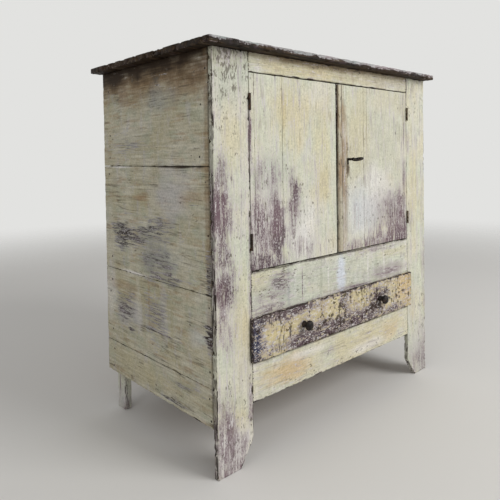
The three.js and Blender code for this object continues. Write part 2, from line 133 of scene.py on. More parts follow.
def useGroup(tree, group, inputs):
    return node(tree, "ShaderNodeGroup", inputs, node_tree=group).outputs


# strokes that run along a board, broad and fine, and an even grit
def makeStrokes():
    look = dict(fineTimes=2.3, gritScale=210, broadDetail=4, gritDetail=2, cloudScale=17)
    inputs, outputs = {"Vector": ["Position", "Stretch"]}, {"Float": ["Broad", "Fine", "Grit", "Clouds"]}
    tree, given, result = openGroup("strokes", inputs, outputs)
    stretched = vectorCalc(tree, "MULTIPLY", given["Position"], given["Stretch"])
    feed(tree, result["Broad"], noise(tree, stretched, 1, look["broadDetail"]))
    feed(tree, result["Fine"], noise(tree, stretched, look["fineTimes"]))
    feed(tree, result["Grit"], noise(tree, given["Position"], look["gritScale"], look["gritDetail"]))
    feed(tree, result["Clouds"], noise(tree, given["Position"], look["cloudScale"]))
    return tree


# a soft place on a face, frayed by the strokes and drifting out of round with the clouds
def makePatch():
    look = dict(edge=1.15, core=0.2, drift=1.3)
    levels = ["Amount", "Strokes", "Fray", "Clouds"]
    inputs = {"Vector": ["Position", "Centre", "Spread"], "Float": levels}
    tree, given, result = openGroup("patch", inputs)
    offset = vectorCalc(tree, "SUBTRACT", given["Position"], given["Centre"])
    away = vectorCalc(tree, "LENGTH", vectorCalc(tree, "MULTIPLY", offset, given["Spread"]))
    away = stir(tree, away, given["Strokes"], given["Fray"])
    away = stir(tree, away, given["Clouds"], look["drift"])
    share = smooth(tree, away, look["edge"], look["core"])
    feed(tree, result["Share"], calc(tree, "MULTIPLY", share, given["Amount"]))
    return tree


# paint scrubbed thin and dusty, then lost down to an older coat, with pale flecks left on it
def makeLoss():
    look = dict(thin=(0.2, 0.6, 0.8), lost=(0.5, 0.9), fleck=(0.54, 0.61, 0.9), fleckGrit=0.3)
    inputs = {
        "Color": ["Paint", "Under", "Dust", "Fleck"],
        "Float": ["Wear", "Broad", "Fine", "Grit", "Broad Weight", "Fine Weight", "Grit Weight"],
    }
    tree, given, result = openGroup("paint loss", inputs, {"Color": ["Colour"], "Float": ["Lost"]})
    level = given["Wear"]
    for name in ("Broad", "Fine", "Grit"):
        level = stir(tree, level, given[name], given[name + " Weight"])
    thin, lost = smooth(tree, level, *look["thin"]), smooth(tree, level, *look["lost"])
    gritPart = calc(tree, "MULTIPLY", given["Grit"], look["fleckGrit"])
    light = calc(tree, "MULTIPLY_ADD", given["Fine"], 1 - look["fleckGrit"], gritPart)
    flecks = calc(tree, "MULTIPLY", smooth(tree, light, *look["fleck"]), thin)
    colour = blendColour(tree, thin, given["Paint"], given["Dust"])
    colour = blendColour(tree, lost, colour, given["Under"])
    feed(tree, result["Colour"], blendColour(tree, flecks, colour, given["Fleck"]))
    feed(tree, result["Lost"], lost)
    return tree


# fine cracks along the grain, the level lines of a long noise, broken up by a rounder one
def makeCracks():
    look = dict(gapScale=16, gaps=(0.46, 0.62), detail=2)
    inputs = {"Vector": ["Position", "Stretch"], "Float": ["Amount"]}
    tree, given, result = openGroup("cracks", inputs)
    stretched = vectorCalc(tree, "MULTIPLY", given["Position"], given["Stretch"])
    level = noise(tree, stretched, 1, look["detail"])
    away = calc(tree, "ABSOLUTE", calc(tree, "SUBTRACT", level, noiseMiddle))
    line = smooth(tree, away, given["Amount"], 0)
    gaps = smooth(tree, noise(tree, given["Position"], look["gapScale"]), *look["gaps"])
    feed(tree, result["Share"], calc(tree, "MULTIPLY", line, gaps))
    return tree


# small dark specks, thicker where the amount is more
def makeSpecks():
    look = dict(detail=4, rare=0.72, drop=0.22, edge=0.07, clumpScale=46, clumping=0.7)
    inputs = {"Vector": ["Position", "Stretch"], "Float": ["Amount"]}
    tree, given, result = openGroup("specks", inputs)
    stretched = vectorCalc(tree, "MULTIPLY", given["Position"], given["Stretch"])
    clumps = noise(tree, given["Position"], look["clumpScale"])
    dots = stir(tree, noise(tree, stretched, 1, look["detail"]), clumps, look["clumping"])
    least = calc(tree, "MULTIPLY_ADD", given["Amount"], -look["drop"], look["rare"])
    feed(tree, result["Share"], smooth(tree, calc(tree, "SUBTRACT", dots, least), 0, look["edge"]))
    return tree


# wear and grime that gather near a board's arrises, from the distance kept in its mesh
def makeArris():
    look = {"Broad": 1.0, "Fine": 1.8, "worn": (0.5, 0.62)}
    inputs = {"Color": ["Colour", "Bare"], "Float": ["Reach", "Amount", "Broad", "Fine"]}
    tree, given, result = openGroup("arris wear", inputs, {"Color": ["Colour"], "Float": ["Worn"]})
    distance = node(tree, "ShaderNodeAttribute", attribute_name="rim").outputs["Fac"]
    near = smooth(tree, distance, given["Reach"], 0)
    level = calc(tree, "MULTIPLY", near, given["Amount"])
    for name in ("Broad", "Fine"):
        level = stir(tree, level, given[name], look[name])
    worn = smooth(tree, level, *look["worn"])
    feed(tree, result["Colour"], blendColour(tree, worn, given["Colour"], given["Bare"]))
    feed(tree, result["Worn"], worn)
    return tree


strokesGroup, patchGroup, lossGroup, arrisGroup = makeStrokes(), makePatch(), makeLoss(), makeArris()
cracksGroup, specksGroup = makeCracks(), makeSpecks()

# patches are placed in millimetres from a face's top left corner, and on the top's arris end at a depth
perMetre = 1000
faces = dict(
    front=dict(corner=(-0.4925, 0, 1.082), across=(1, 0, 0)),
    side=dict(corner=(0, 0.303, 1.082), across=(0, -1, 0)),
    topArris=dict(corner=(-0.5265, -0.299, 1.1), across=(1, 0, 0), depth=14),
)


def patchPlace(face, across, down, halfAcross, halfDown):
    layout = faces[face]
    way = Vector(layout["across"])
    centre = Vector(layout["corner"]) + (way * across - Vector((0, 0, down))) / perMetre
    spread = (way / halfAcross + Vector((0, 0, 1 / halfDown))) * perMetre
    if "depth" in layout:
        spread.y = perMetre / layout["depth"]
    return centre, spread


def startMaterial(name):
    material = bpy.data.materials.new(name)
    material.use_nodes = True
    tree = material.node_tree
    tree.nodes.clear()
    return material, tree, node(tree, "ShaderNodeTexCoord").outputs["Object"]


def endMaterial(tree, look, colour, roughness, height, metallic=0):
    bump = node(tree, "ShaderNodeBump", {"Height": height, "Distance": look["depth"], "Strength": 1})
    inputs = {
        "Base Color": colour,
        "Roughness": roughness,
        "Metallic": metallic,
        "Specular IOR Level": look["sheen"],
        "Normal": bump.outputs["Normal"],
    }
    shader = node(tree, "ShaderNodeBsdfPrincipled", inputs)
    node(tree, "ShaderNodeOutputMaterial", {"Surface": shader.outputs["BSDF"]})


# the ground of a paint is its tree, position, strokes and look
def patchShare(ground, place, amount, fray):
    tree, position, strokes, look = ground
    centre, spread = patchPlace(look["face"], *place)
    inputs = {"Position": position, "Centre": centre, "Spread": spread, "Amount": amount}
    inputs.update({"Strokes": strokes["Broad"], "Fray": look[fray], "Clouds": strokes["Clouds"]})
    return useGroup(tree, patchGroup, inputs)["Share"]


def mostOf(ground, everywhere, places):
    tree, most = ground[0], 0
    for *place, amount in places:
        most = calc(tree, "MAXIMUM", most, patchShare(ground, place, amount - everywhere, "fray"))
    return calc(tree, "ADD", most, everywhere)


def tinted(ground, paint, tints):
    for colour, *place, amount in tints:
        share = patchShare(ground, place, amount, "tintFray")
        paint = blendColour(ground[0], share, paint, colour)
    return paint


def marked(ground, colour, kind, group, amount):
    tree, position, strokes, look = ground
    inputs = {"Position": position, "Stretch": look[kind + "Stretch"], "Amount": amount}
    share = calc(tree, "MULTIPLY", useGroup(tree, group, inputs)["Share"], look[kind + "Depth"])
    return share, blendColour(tree, share, colour, look[kind])


def paintedWood(name, changes):
    look = {**frontPaint, **changes}
    material, tree, position = startMaterial(name)
    strokes = useGroup(tree, strokesGroup, {"Position": position, "Stretch": look["stretch"]})
    ground = (tree, position, strokes, look)
    clouds = smooth(tree, noise(tree, position, look["cloudScale"]), *look["cloudRange"])
    paint = blendColour(tree, clouds, *look["paint"])
    streaks = smooth(tree, strokes["Broad"], *look["streakRange"], look["streakShare"])
    paint = blendColour(tree, streaks, paint, look["streak"])
    for colour, stretch, *limits in look["mottles"]:
        mottle = noise(tree, vectorCalc(tree, "MULTIPLY", position, stretch), 1, look["mottleDetail"])
        paint = blendColour(tree, smooth(tree, mottle, *limits), paint, colour)
    paint = tinted(ground, paint, look["tints"])
    dapple = calc(tree, "ADD", strokes["Fine"], strokes["Grit"])
    shade = calc(tree, "MULTIPLY_ADD", dapple, look["strokeDepth"], 1 - look["strokeDepth"])
    under = blendColour(tree, clouds, *look["under"])
    inputs = {
        "Paint": vectorCalc(tree, "MULTIPLY", paint, shade),
        "Under": tinted(ground, under, look["underTints"]),
        "Dust": look["dust"],
        "Fleck": look["fleck"],
        "Wear": mostOf(ground, look["wearEverywhere"], look["worn"]),
    }
    for title, weight in zip(("Broad", "Fine", "Grit"), look["wearWeights"]):
        inputs.update({title: strokes[title], title + " Weight": weight})
    loss = useGroup(tree, lossGroup, inputs)
    cracks, colour = marked(ground, loss["Colour"], "crack", cracksGroup, look["crackWidth"])
    amount = mostOf(ground, look["specksEverywhere"], look["specked"])
    inputs = {
        "Colour": marked(ground, colour, "speck", specksGroup, amount)[1],
        "Bare": look["arris"],
        "Reach": look["arrisReach"],
        "Amount": look["arrisAmount"],
        "Broad": strokes["Broad"],
        "Fine": strokes["Fine"],
    }
    arris = useGroup(tree, arrisGroup, inputs)
    bare = calc(tree, "MAXIMUM", loss["Lost"], arris["Worn"])
    sunk = calc(tree, "MULTIPLY", calc(tree, "ADD", bare, cracks), -1)
    height = calc(tree, "MULTIPLY_ADD", strokes["Fine"], look["strokeHeight"], sunk)
    roughness = calc(tree, "MULTIPLY_ADD", bare, look["wornRougher"], look["roughness"])
    endMaterial(tree, look, arris["Colour"], roughness, height)
    return material


# growth rings are the level lines of a noise stretched along the grain, and each plank has its own
def bareWood(name, changes):
    look = {**pine, **changes}
    material, tree, position = startMaterial(name)
    plank = node(tree, "ShaderNodeAttribute", attribute_name="plank").outputs["Fac"]
    position = vectorCalc(tree, "ADD", position, vectorCalc(tree, "MULTIPLY", plank, look["plankShift"]))
    stretched = vectorCalc(tree, "MULTIPLY", position, look["stretch"])
    figure = noise(tree, stretched, look["figureScale"], look["figureDetail"])
    rings = calc(tree, "SINE", calc(tree, "MULTIPLY", figure, look["rings"]))
    late = smooth(tree, rings, *look["lateRange"])
    fibre = noise(tree, stretched, look["fibreScale"], look["fibreDetail"])
    blotch = smooth(tree, noise(tree, position, look["blotchScale"]), *look["blotchRange"])
    edge = node(tree, "ShaderNodeAttribute", attribute_name="edge").outputs["Fac"]
    share = calc(tree, "MULTIPLY", late, look["lateShare"])
    colour = blendColour(tree, share, look["early"], look["late"])
    colour = blendColour(tree, blotch, colour, look["blotch"])
    colour = blendColour(tree, smooth(tree, fibre, *look["fibreRange"]), colour, look["fibre"])
    colour = blendColour(tree, calc(tree, "MULTIPLY", edge, look["edgeShare"]), colour, look["edge"])
    height = calc(tree, "MULTIPLY_ADD", late, look["ringHeight"], fibre)
    endMaterial(tree, look, colour, look["roughness"], height)
    return material


def oldIron(name, changes):
    look = {**iron, **changes}
    material, tree, position = startMaterial(name)
    scale = noise(tree, position, look["scale"], look["scaleDetail"])
    rust = smooth(tree, scale, *look["rustRange"])
    pits = noise(tree, position, look["pitScale"], look["pitDetail"])
    remains = vectorCalc(tree, "MULTIPLY", position, look["paintStretch"])
    painted = smooth(tree, noise(tree, remains, 1, look["paintDetail"]), *look["paintRange"])
    colour = blendColour(tree, rust, look["iron"], look["rust"])
    colour = blendColour(tree, painted, colour, look["paint"])
    dull = calc(tree, "MAXIMUM", rust, painted)
    shine = calc(tree, "MULTIPLY_ADD", dull, look["rustRougher"], look["roughness"])
    metal = calc(tree, "MULTIPLY_ADD", dull, -look["metallic"], look["metallic"])
    endMaterial(tree, look, colour, shine, calc(tree, "ADD", pits, scale), metal)
    return material


# the front's paint, which the others start from: a place is across, down, their halves, and how much
upright, crosswise, deepwise = (115, 115, 8), (13, 110, 110), (110, 9, 110)
frontPaint = dict(
    face="front", stretch=upright, fray=2.6, tintFray=1, cloudScale=7, cloudRange=(0.38, 0.62),
    paint=("cream", "paleGreen"), streak="chalk", streakRange=(0.48, 0.66), streakShare=0.35,
    mottles=[
        ("yellow", (13, 13, 7), 0.5, 0.68, 0.35), ("greyGreen", (27, 27, 15), 0.52, 0.68, 0.4),
        ("lilac", (50, 50, 24), 0.56, 0.7, 0.35),
    ],
    mottleDetail=2, tints=[], strokeDepth=0.66, wearEverywhere=0, wearWeights=(2.2, 1.9, 1.2),
    worn=[], under=("mauve", "deepMauve"), underTints=[], dust="dustyMauve", fleck="chalk",
    crack="oldLine", crackStretch=(60, 60, 2), crackWidth=0.03, crackDepth=0.4, specksEverywhere=0.05,
    specked=[], speck="speckle", speckStretch=(250, 250, 90), speckDepth=0.7, arris="grime",
    arrisReach=0.007, arrisAmount=0.5, strokeHeight=0.5, depth=0.0006, roughness=0.62,
    wornRougher=0.2, sheen=0.15,
)

stilePaint = paintedWood("stile_paint", dict(
    tints=[
        # the khaki at the stile's top is partly painted shade under the top's overhang, partly grime
        ("greyGreen", 60, 60, 110, 110, 0.6), ("khaki", 30, 10, 150, 60, 0.45),
        ("ochre", 100, 730, 22, 60, 0.3), ("yellow", 60, 240, 50, 90, 0.45),
        ("yellow", 85, 700, 30, 170, 0.4), ("yellow", 70, 950, 50, 80, 0.5),
        ("chalk", 50, 1030, 80, 90, 0.9), ("yellow", 930, 380, 40, 260, 0.5),
        ("ochre", 915, 830, 22, 130, 0.25), ("lilac", 970, 1000, 80, 120, 0.6),
        # the umber at u 115 beside the drawer's left end is painted shadow of the drawer's proud lip
        ("umber", 115, 760, 4, 76, 0.9), ("umber", -1, 500, 3, 1400, 0.6),
        ("umber", -1, 1010, 3, 140, 0.8),
    ],
    underTints=[("dustyMauve", 60, 1010, 110, 110, 0.4)],
    worn=[
        (40, 10, 120, 60, 0.42), (22, 330, 44, 120, 0.62), (24, 410, 54, 150, 0.95),
        (26, 520, 50, 110, 0.66), (26, 620, 54, 140, 0.85), (36, 740, 40, 90, 0.36),
        (24, 932, 54, 80, 0.6), (112, 910, 20, 100, 0.56), (34, 1000, 56, 120, 0.76),
        (60, 1076, 140, 44, 0.74), (84, 1020, 26, 60, 0.6), (119, 250, 5, 150, 0.85),
        (118, 640, 10, 400, 0.5), (900, 490, 40, 80, 0.42), (895, 240, 16, 80, 0.5),
        (1000, 760, 20, 260, 0.5), (990, 1030, 90, 120, 0.62), (905, 1050, 60, 90, 0.45),
        (910, 30, 50, 50, 0.4),
    ],
    specked=[
        (40, 10, 190, 150, 1), (10, 180, 60, 190, 0.6), (60, 560, 130, 200, 0.35),
        (60, 980, 130, 170, 0.6), (940, 20, 110, 120, 0.6), (980, 900, 90, 260, 0.5),
    ],
))

postPaint = paintedWood("post_paint", dict(
    face="side", paint=("lilac", "paleGreen"), tints=[("drab", 60, 930, 200, 90, 0.7)],
    worn=[(70, 1082, 60, 40, 0.6), (40, 1000, 10, 90, 0.6)], arrisAmount=0.3,
))

railPaint = paintedWood("rail_paint", dict(
    stretch=crosswise, crackStretch=(2, 60, 60), speckStretch=(90, 250, 250),
    mottles=[
        ("yellow", (7, 15, 15), 0.5, 0.68, 0.35), ("greyGreen", (15, 33, 33), 0.5, 0.66, 0.4),
        ("chalk", (60, 20, 20), 0.54, 0.7, 0.6), ("dustyMauve", (60, 60, 30), 0.56, 0.68, 0.5),
    ],
    tints=[
        # the ochre and brown along the top rail's upper edge are partly painted shade under the top's
        # overhang, partly grime
        ("ochre", 500, 18, 800, 50, 0.4), ("brown", 500, -2, 800, 22, 0.7),
        ("yellow", 330, 38, 180, 20, 0.4), ("lilac", 790, 34, 110, 14, 0.4),
        ("drab", 740, 26, 200, 30, 0.6), ("warmCream", 500, 876, 900, 90, 0.65),
        ("orange", 255, 872, 120, 50, 0.6), ("ochre", 220, 850, 60, 30, 0.3),
        ("orange", 765, 880, 60, 44, 0.4), ("yellow", 600, 880, 260, 70, 0.45),
        ("paleGreen", 430, 876, 50, 60, 0.7), ("greyGreen", 500, 640, 420, 90, 0.6),
        ("skyWhite", 500, 650, 24, 100, 1), ("yellow", 790, 612, 130, 20, 0.4),
        ("yellow", 150, 610, 50, 30, 0.4), ("slate", 230, 640, 110, 50, 0.25),
        ("chalk", 640, 900, 120, 20, 0.6), ("chalk", 340, 845, 120, 16, 0.6),
        ("dustyMauve", 770, 670, 150, 30, 0.5), ("slate", 262, 636, 7, 70, 0.5),
        ("greyOlive", 404, 640, 8, 80, 0.55), ("chalk", 438, 640, 5, 80, 0.55),
        ("chalk", 642, 640, 5, 80, 0.7), ("chalk", 736, 636, 4, 70, 0.6),
        # the thin umber lines at v 53, 579 and 821 are painted shade in the gaps above and below the doors
        # and under the drawer's proud lip
        ("greyOlive", 690, 640, 7, 70, 0.45), ("umber", 500, 53, 560, 5, 0.9),
        ("umber", 500, 579, 560, 5, 0.8), ("umber", 500, 821, 560, 5, 0.75),
    ],
    worn=[
        (236, 622, 56, 44, 0.74), (200, 656, 70, 26, 0.56), (180, 686, 90, 24, 0.7),
        (765, 672, 170, 30, 0.5), (500, 880, 460, 60, 0.15), (720, 588, 190, 18, 0.6),
        (560, 694, 180, 14, 0.6), (500, 701, 480, 8, 0.75), (320, 640, 3, 90, 0.8),
        (860, 20, 60, 16, 0.3), (500, 930, 480, 10, 0.5),
    ],
    underTints=[("grime", 210, 650, 120, 80, 0.6)],
    specked=[
        (260, 630, 190, 90, 0.5), (700, 610, 300, 60, 0.35), (500, 4, 600, 20, 0.6),
        (500, 920, 600, 30, 0.6),
    ],
))

leftDoorPaint = paintedWood("left_door_paint", dict(
    tints=[
        ("paleGreen", 168, 190, 40, 170, 0.8), ("yellow", 280, 150, 100, 140, 0.6),
        ("ochre", 252, 160, 12, 90, 0.35), ("ochre", 420, 365, 40, 60, 0.25),
        ("yellow", 410, 250, 60, 160, 0.4), ("chalk", 320, 500, 70, 120, 0.9),
        ("chalk", 180, 440, 90, 170, 0.6), ("greyGreen", 200, 330, 80, 80, 0.6),
        ("greyGreen", 300, 420, 60, 120, 0.4),
    ],
    worn=[
        (180, 500, 110, 190, 0.62), (146, 440, 36, 200, 0.7), (222, 490, 40, 160, 1.05),
        (176, 570, 120, 76, 0.82), (288, 404, 38, 130, 0.8), (190, 320, 110, 90, 0.42),
        (320, 540, 110, 66, 0.4), (125, 230, 6, 160, 0.8), (128, 480, 9, 160, 0.75),
    ],
    specked=[(240, 440, 170, 190, 0.5), (440, 560, 60, 50, 0.4)], arrisAmount=0.2,
))

rightDoorPaint = paintedWood("right_door_paint", dict(
    tints=[
        ("yellow", 600, 200, 70, 180, 0.55), ("paleGreen", 760, 220, 150, 190, 0.5),
        # the rust and brown beside the bead are partly painted shade cast by the bead, partly brown stain;
        # the umber at u 484 is painted shade on the meeting board's edge in the gap between the doors
        ("drab", 710, 240, 260, 300, 0.3), ("rust", 518, 320, 24, 320, 0.65),
        ("brown", 511, 320, 12, 200, 0.45), ("umber", 484, 150, 16, 480, 1),
        ("brown", 540, 318, 14, 30, 0.8), ("umber", 540, 316, 8, 28, 0.6),
        ("brown", 530, 440, 12, 120, 0.35), ("skyWhite", 610, 450, 100, 110, 0.6),
        ("chalk", 700, 380, 110, 90, 0.6), ("brown", 642, 190, 3, 150, 0.35),
        ("lilac", 740, 460, 150, 80, 0.5),
    ],
    worn=[
        (790, 562, 170, 80, 1), (756, 566, 110, 50, 1), (792, 504, 104, 120, 0.76),
        (840, 470, 50, 120, 0.8), (640, 576, 160, 50, 0.74), (866, 410, 18, 200, 0.66),
        (866, 150, 16, 200, 0.4), (560, 572, 80, 40, 0.5),
    ],
    specked=[(530, 320, 30, 90, 0.8), (700, 470, 170, 160, 0.4)], arrisAmount=0.2,
))

beadPaint = paintedWood("bead_paint", dict(
    paint=("pink", "olive"), streak="rust", streakShare=0.4, tintFray=0.4,
    mottles=[("rust", (50, 50, 12), 0.5, 0.64, 0.6)],
    tints=[
        # on the bead, the umber at u 485 is painted shade on its left flank and in the gap, the umber at u
        # 501.5 painted shade down its right side, the warm cream a painted highlight along its crest, and
        # the umber at its foot a painted shadow
        ("drab", 494, 500, 9, 160, 0.9), ("umber", 485, 150, 4, 460, 1),
        ("umber", 501.5, 210, 3.6, 500, 0.8), ("warmCream", 492, 130, 3, 130, 0.7),
        ("umber", 497, 576, 20, 7, 0.9),
    ],
    wearEverywhere=-0.5, under=("brown", "deepMauve"), specksEverywhere=0.4, arrisAmount=0.1,
))

drawerPaint = paintedWood("drawer_paint", dict(
    stretch=(36, 130, 90), crackStretch=(70, 70, 18), crackWidth=0.05, crackDepth=0.8, crack="umber",
    cloudScale=12, paint=("mustard", "yellow"), streak="pink",
    mottles=[("pink", (24, 60, 60), 0.5, 0.62, 0.6), ("chalk", (70, 120, 120), 0.56, 0.64, 0.7)],
    wearEverywhere=0.05, wearWeights=(3, 2.2, 1.6), fray=1.8,
    tints=[
        ("orange", 850, 735, 70, 80, 0.5), ("yellow", 470, 735, 60, 40, 0.6),
        ("yellow", 585, 722, 80, 26, 0.8), ("ochre", 210, 750, 80, 24, 0.3),
    ],
    worn=[
        (220, 704, 220, 32, 1.1), (116, 760, 56, 160, 1.1), (300, 800, 130, 40, 1),
        (430, 796, 140, 46, 1), (600, 792, 200, 50, 1), (690, 745, 90, 60, 0.8), (760, 806, 130, 30, 0.8),
        (500, 698, 500, 10, 0.8), (500, 817, 500, 9, 0.9), (320, 766, 50, 40, 0.8),
        (505, 740, 40, 90, 0.7),
    ],
    under=("plum", "deepMauve"),
    underTints=[("navy", 122, 770, 56, 90, 1), ("grime", 730, 760, 90, 40, 0.7)],
    specksEverywhere=0.4, specked=[(690, 760, 130, 60, 1), (470, 760, 90, 90, 0.9)], speck="umber",
    speckStretch=(110, 150, 110), speckDepth=0.8, arrisReach=0.008, arrisAmount=0.7,
))

sidePaint = paintedWood("side_paint", dict(
    face="side", wearEverywhere=-0.4, wearWeights=(1.5, 3.2, 0.8), stretch=deepwise,
    crackStretch=(60, 2, 60), speckStretch=(150, 55, 150), crackDepth=0.5, crack="umber",
    paint=("olive", "khaki"), streak="cream", streakShare=0.5, strokeDepth=0.75,
    mottles=[
        ("khaki", (20, 7, 24), 0.48, 0.66, 0.5), ("greyOlive", (30, 16, 30), 0.5, 0.66, 0.6),
        ("rust", (40, 12, 80), 0.54, 0.7, 0.4), ("drab", (60, 60, 20), 0.52, 0.68, 0.6),
        ("lilac", (30, 40, 16), 0.56, 0.7, 0.4),
    ],
    tintFray=0.7,
    tints=[
        # the umber along the side's top is painted shade under the top's overhang, and the brown below it
        # is partly that painted shade fading out, partly brown stain
        ("brown", 330, 92, 460, 46, 0.4), ("brown", 300, 40, 700, 70, 0.85),
        ("umber", 284, -20, 1800, 92, 1), ("umber", 150, -6, 300, 56, 0.8),
        ("slate", 330, 110, 90, 60, 0.5), ("lilac", 385, 370, 110, 90, 0.7),
        ("rust", 210, 390, 60, 12, 0.6), ("rust", 470, 380, 80, 30, 0.4),
        ("lilac", 190, 740, 70, 60, 0.7), ("chalk", 30, 700, 50, 100, 0.5),
        # the chalk line at v 619 along the seam is a painted highlight on the board's arris
        ("chalk", 170, 619, 110, 7, 0.9), ("skyWhite", 490, 740, 50, 30, 0.3),
        ("slate", 300, 560, 130, 70, 0.5), ("plum", 280, 560, 90, 80, 0.2),
        ("cream", 196, 700, 20, 120, 0.35), ("khaki", 226, 720, 14, 130, 0.6),
        ("rust", 256, 700, 8, 110, 0.4), ("lilac", 330, 700, 20, 130, 0.4),
        ("khaki", 372, 730, 8, 120, 0.6), ("rust", 120, 668, 110, 24, 0.45),
        ("lilac", 110, 760, 60, 50, 0.7), ("khaki", 60, 400, 24, 200, 0.4),
        ("khaki", 170, 330, 10, 120, 0.5), ("khaki", 284, 905, 500, 46, 0.5),
        ("yellow", 200, 900, 200, 40, 0.2), ("chalk", 90, 299, 90, 4, 0.9),
        ("umber", 430, 298, 150, 5, 1), ("umber", 550, 460, 7, 1200, 0.6),
        ("brown", 540, 350, 12, 600, 0.5),
    ],
    worn=[
        (120, 500, 110, 60, 0.8), (130, 536, 110, 28, 0.8), (210, 500, 110, 60, 0.62),
        (310, 480, 120, 60, 0.62), (300, 565, 130, 60, 0.6), (350, 606, 150, 30, 0.66),
        (120, 740, 90, 80, 0.72), (290, 720, 120, 90, 0.5), (150, 796, 50, 18, 0.8),
        (290, 771, 180, 5, 0.8), (545, 730, 34, 46, 1.1), (546, 580, 20, 90, 0.7),
        (420, 888, 150, 16, 0.5), (360, 944, 160, 9, 0.7), (150, 230, 160, 60, 0.3),
    ],
    under=("grime", "deepMauve"), dust="ash", fleck="lilac", specksEverywhere=-0.1,
    specked=[(300, 60, 300, 50, 0.3), (300, 930, 300, 40, 0.4)], arrisAmount=0.34,
))

topPaint = paintedWood("top_paint", dict(
    face="topArris", fray=1.2, stretch=crosswise, crackStretch=(2.4, 70, 70), paint=("umber", "soot"),
    streak="brown", streakShare=0.2, mottles=[("deepMauve", (30, 30, 30), 0.54, 0.68, 0.25)],
    worn=[(526, 0, 900, 15, 1.2)], wearEverywhere=-0.5, under=("dustyMauve", "slate"), dust="plum",
    fleck="lilac", arris="dustyMauve", arrisReach=0.003, arrisAmount=0.5,
))

pine = dict(
    figureScale=1, figureDetail=1, rings=55, fibreScale=9, fibreDetail=4, blotchScale=5,
    plankShift=(7, 5, 3), early=tone(170, 144, 108), late=tone(130, 99, 66), lateRange=(0.1, 0.95),
    lateShare=0.65, blotch=tone(108, 90, 70), blotchRange=(0.35, 0.7, 0.55), fibre=tone(92, 78, 64),
    fibreRange=(0.45, 0.75, 0.5), edge="umber", edgeShare=0.55, ringHeight=0.3, roughness=0.8,
    sheen=0.2, depth=0.0006,
)
uprightWood = bareWood("upright_wood", {"stretch": (13, 13, 0.6)})
crossWood = bareWood("cross_wood", {"stretch": (0.6, 13, 13)})
deepWood = bareWood("deep_wood", {"stretch": (13, 0.6, 13)})
# a soot-dark wood for the keyhole's walls: painted shade inside the hole, over grimy wood
sootAndShadeWood = bareWood("soot_and_shade_wood", dict(
    stretch=(12, 0.9, 12), early="umber", late="soot", blotch="soot", fibre="grime",
))

iron = dict(
    scale=90, scaleDetail=5, rustRange=(0.5, 0.66), pitScale=420, pitDetail=2, iron=tone(38, 34, 32),
    rust=tone(74, 52, 40), roughness=0.42, rustRougher=0.35, metallic=0.5, sheen=0.3, depth=0.0004,
    paint="oldLine", paintStretch=(260, 260, 90), paintDetail=4, paintRange=(0.66, 0.72),
)
hingeIron = oldIron("hinge_iron", dict(iron=tone(52, 44, 38), rust=tone(82, 58, 44)))
paintedIron = oldIron("painted_iron", dict(iron=tone(66, 58, 44), paintRange=(0.46, 0.56)))
lockIron = oldIron("lock_iron", {"iron": tone(56, 52, 50)})
knobIron = oldIron("knob_iron", dict(iron=tone(30, 27, 26), rust=tone(58, 46, 40)))
print("paints, woods and iron are mixed")


sides, courses = ("left", "right"), range(1, 5)


# modelling helpers: nothing is selected before a new primitive, which is then active
def onlySelect(*pieces):
    bpy.ops.object.select_all(action="DESELECT")
    for piece in pieces:
        piece.select_set(True)
        bpy.context.view_layer.objects.active = piece


def applyPlace(piece):
    onlySelect(piece)
    bpy.ops.object.transform_apply(location=True, rotation=True, scale=True)


def applyModifier(piece, kind, **settings):
    onlySelect(piece)
    modifier = piece.modifiers.new(kind, kind)
    for name, value in settings.items():
        setattr(modifier, name, value)
    bpy.ops.object.modifier_apply(modifier=modifier.name)


def editMesh(piece):
    onlySelect(piece)
    bpy.ops.object.mode_set(mode="EDIT")
    bpy.ops.mesh.select_all(action="SELECT")


def backToObject():
    bpy.ops.object.mode_set(mode="OBJECT")


# what the other form leaves of itself has the given material
def combine(piece, other, material, operation="DIFFERENCE"):
    other.data.materials.append(material)
    how = dict(object=other, operation=operation, solver="MANIFOLD", material_mode="TRANSFER")
    applyModifier(piece, "BOOLEAN", **how)
    bpy.data.objects.remove(other)


smoothAngle = radians(35)


def settle(piece, name, nodes, body, slot, *materials):
    piece.name = piece.data.name = name
    for material in materials:
        piece.data.materials.append(material)
    onlySelect(piece)
    bpy.ops.object.shade_smooth_by_angle(angle=smoothAngle)
    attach(piece, body)
    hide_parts(*nodes)


def settleBoard(board, name, body, slot):
    settle(board, "worn_" + name, [name], body, slot)


# the side that a board shows: the turn of its grid, its axes across, up and through, and the way out
facings = dict(
    front=dict(turn=(90, 0, 0), axes="xzy", out=(0, -1, 0)),
    back=dict(turn=(90, 0, 180), axes="xzy", out=(0, 1, 0)),
    left=dict(turn=(90, 0, -90), axes="yzx", out=(-1, 0, 0)),
    right=dict(turn=(90, 0, 90), axes="yzx", out=(1, 0, 0)),
    up=dict(turn=(0, 0, 0), axes="xyz", out=(0, 0, 1)),
)


# clouds of a size, black below the first share and white above the second
def cloudTexture(name, size, black, white):
    texture = bpy.data.textures.new(name, "CLOUDS")
    texture.noise_scale = size
    texture.use_color_ramp = True
    for element, place, level in zip(texture.color_ramp.elements, (black, white), (0, 1)):
        element.position = place
        element.color = (level, level, level, 1)
    return texture


handWork = cloudTexture("hand work", 0.07, 0.2, 0.8)
knocks = cloudTexture("knocks", 0.016, 0.56, 0.72)

boardLook = dict(
    cell=0.006, arris=0.0012, arrisSteps=2, arrisAngle=40,
    chippedTimes=1.2,  # the chips reach this many times the arris
    waviness=0.0009, chips=0.0015,
    bareFacing=-0.7,  # a face that looks away by more than this is bare
    edgeReach=0.009, plankKey=Vector((1.7, 2.9, 4.1)),
)


